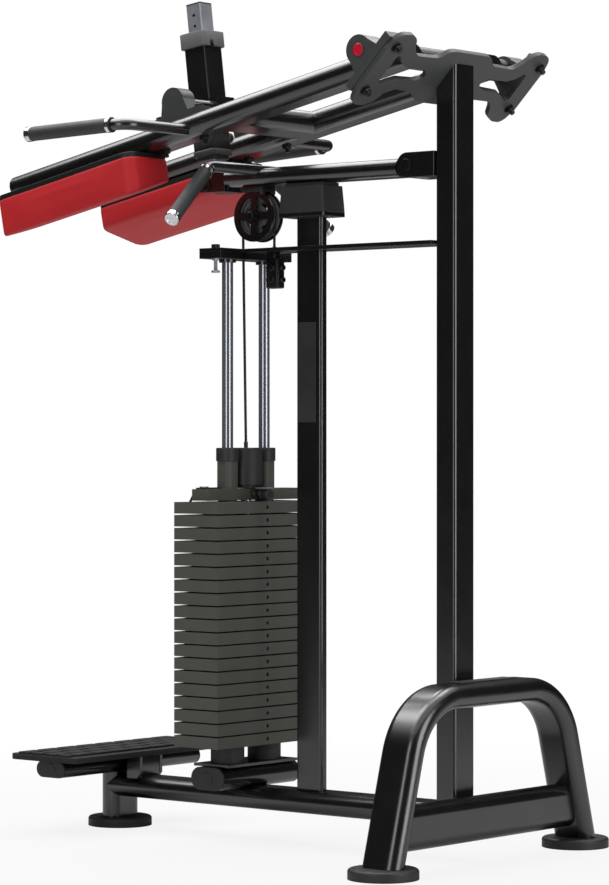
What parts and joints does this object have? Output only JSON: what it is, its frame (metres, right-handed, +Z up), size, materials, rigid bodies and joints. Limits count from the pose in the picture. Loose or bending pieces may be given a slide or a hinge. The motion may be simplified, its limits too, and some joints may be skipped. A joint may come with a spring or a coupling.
{
  "type": "standing calf raise machine",
  "caption": "Standing calf raise machine: shoulder pads on a pivoting press arm, linked by a telescoping post to a cable-loaded weight stack.",
  "frame": {"origin": "centre of the bounding box at floor level", "axes": "+X across to the machine's right side, -Y to the user, +Z up"},
  "size_m": [0.8266, 1.2898, 1.8744],
  "materials": {
    "frame_paint": "satin black powder coat",
    "grey_paint": "satin dark grey powder coat",
    "step_rubber": "matte",
    "black_plastic": "satin",
    "grey_plastic": "satin",
    "red_plastic": "gloss",
    "dark_steel": "black oxide",
    "black_rubber": "matte",
    "grip_rubber": "fine ribbed",
    "chrome": "polished",
    "rod_steel": "ground and polished",
    "post_steel": "satin plated",
    "plate_iron": "olive grey paint",
    "red_upholstery": "fine grained vinyl",
    "cable_jacket": "smooth jacket"
  },
  "bodies": {
    "frame": {"base_rail": "frame_paint", "front_post": "frame_paint", "platform_tube": "frame_paint", "step_platform": "step_rubber", "foot_pads": "black_plastic", "tube_end_caps": "black_plastic", "arch_tube": "frame_paint", "crossbeam": "frame_paint", "arch_plaque": "black_plastic", "main_column": "frame_paint", "top_bracket": "grey_paint", "bracket_bolts": "dark_steel", "upper_housings": "grey_paint", "bearing_caps": "red_plastic", "lever_bracket": "frame_paint", "lever_pivot_bolt": "dark_steel", "centre_column": "frame_paint", "bumper_block": "black_rubber", "stack_base": "frame_paint", "stack_bumpers": "black_rubber", "guide_rods": "rod_steel", "weight_plates": "plate_iron", "guide_head": "frame_paint", "guide_strap": "frame_paint", "guide_stop_bolt": "dark_steel", "cable_clamp": "grey_paint", "cable_anchor_run": "cable_jacket"},
    "weight_head": {"head_plate": "plate_iron", "head_sleeves": "plate_iron", "head_yoke": "black_plastic", "selector_rod": "rod_steel", "cable_head_run": "cable_jacket"},
    "selector_pin": {"selector_pin": "black_plastic"},
    "weight_arm": {"weight_lever": "frame_paint", "post_yoke": "frame_paint", "strike_pad": "black_rubber", "pulley_bracket": "frame_paint", "lower_handle_tubes": "frame_paint", "lower_grips": "grip_rubber", "lower_grip_ends": "chrome", "cable_wrap": "cable_jacket"},
    "pulley": {"pulley": "grey_plastic"},
    "foot_pin": {"foot_pin": "dark_steel"},
    "inner_post": {"inner_post": "post_steel"},
    "sleeve": {"post_sleeve": "frame_paint", "sleeve_collars": "grey_plastic", "trunnion": "frame_paint"},
    "lock_pin": {"lock_pin": "black_plastic"},
    "pivot_shaft": {"pivot_shaft": "rod_steel"},
    "press_arm": {"arm_tubes": "frame_paint", "arm_crossbar": "frame_paint", "torque_tube": "frame_paint", "post_housings": "grey_paint", "arm_bolts": "dark_steel", "pad_boards": "black_plastic", "pad_right": "red_upholstery", "pad_left": "red_upholstery", "upper_handle_tubes": "frame_paint", "upper_grips": "grip_rubber", "upper_grip_ends": "chrome"}
  },
  "joints": [
    {"name": "lift", "type": "hinge", "parent": "frame", "child": "weight_arm", "pos_m": [0, 0.39909, 1.476], "axis": [-1, 0, 0], "range_deg": [0, 9]},
    {"name": "post_swing", "type": "hinge", "parent": "weight_arm", "child": "foot_pin", "pos_m": [0, -0.17491, 1.46], "axis": [-1, 0, 0], "range_deg": [-10.6, 0]},
    {"name": "post_tilt", "type": "hinge", "parent": "foot_pin", "child": "inner_post", "pos_m": [0, -0.17491, 1.46], "axis": [-1, 0, 0], "range_deg": [0, 2.3]},
    {"name": "height_adjust", "type": "slide", "parent": "inner_post", "child": "sleeve", "axis": [0, -0.1236, 0.9923], "range_m": [0, 0.06]},
    {"name": "lock_pull", "type": "slide", "parent": "sleeve", "child": "lock_pin", "axis": [-1, 0, 0], "range_m": [0, 0.012], "stiffness_N_per_m": 400},
    {"name": "press_swing", "type": "hinge", "parent": "frame", "child": "pivot_shaft", "pos_m": [0, 0.45638, 1.69548], "axis": [-1, 0, 0], "range_deg": [0, 8.8]},
    {"name": "press_raise", "type": "hinge", "parent": "pivot_shaft", "child": "press_arm", "pos_m": [0, 0.45638, 1.69548], "axis": [-1, 0, 0], "range_deg": [0, 6]},
    {"name": "head_lift", "type": "slide", "parent": "frame", "child": "weight_head", "axis": [0, 0, 1], "range_m": [0, 0.146], "deforming": ["cable_head_run"]},
    {"name": "pin_pull", "type": "slide", "parent": "weight_head", "child": "selector_pin", "axis": [0, 1, 0], "range_m": [0, 0.045]},
    {"name": "pulley_spin", "type": "hinge", "parent": "weight_arm", "child": "pulley", "pos_m": [0, -0.04891, 1.387], "axis": [-1, 0, 0], "range_deg": [0, 81]}
  ],
  "couplings": [
    {"joint": "post_swing", "follows": "lift", "ratio": -1.1184},
    {"joint": "press_swing", "follows": "lift", "ratio": 0.92715},
    {"joint": "head_lift", "follows": "lift", "m_per_rad": 0.896},
    {"joint": "pulley_spin", "follows": "lift", "ratio": 8.7391},
    {"joint": "post_tilt", "follows": "height_adjust", "rad_per_m": 0.55574},
    {"joint": "press_raise", "follows": "height_adjust", "rad_per_m": 1.5886}
  ]
}
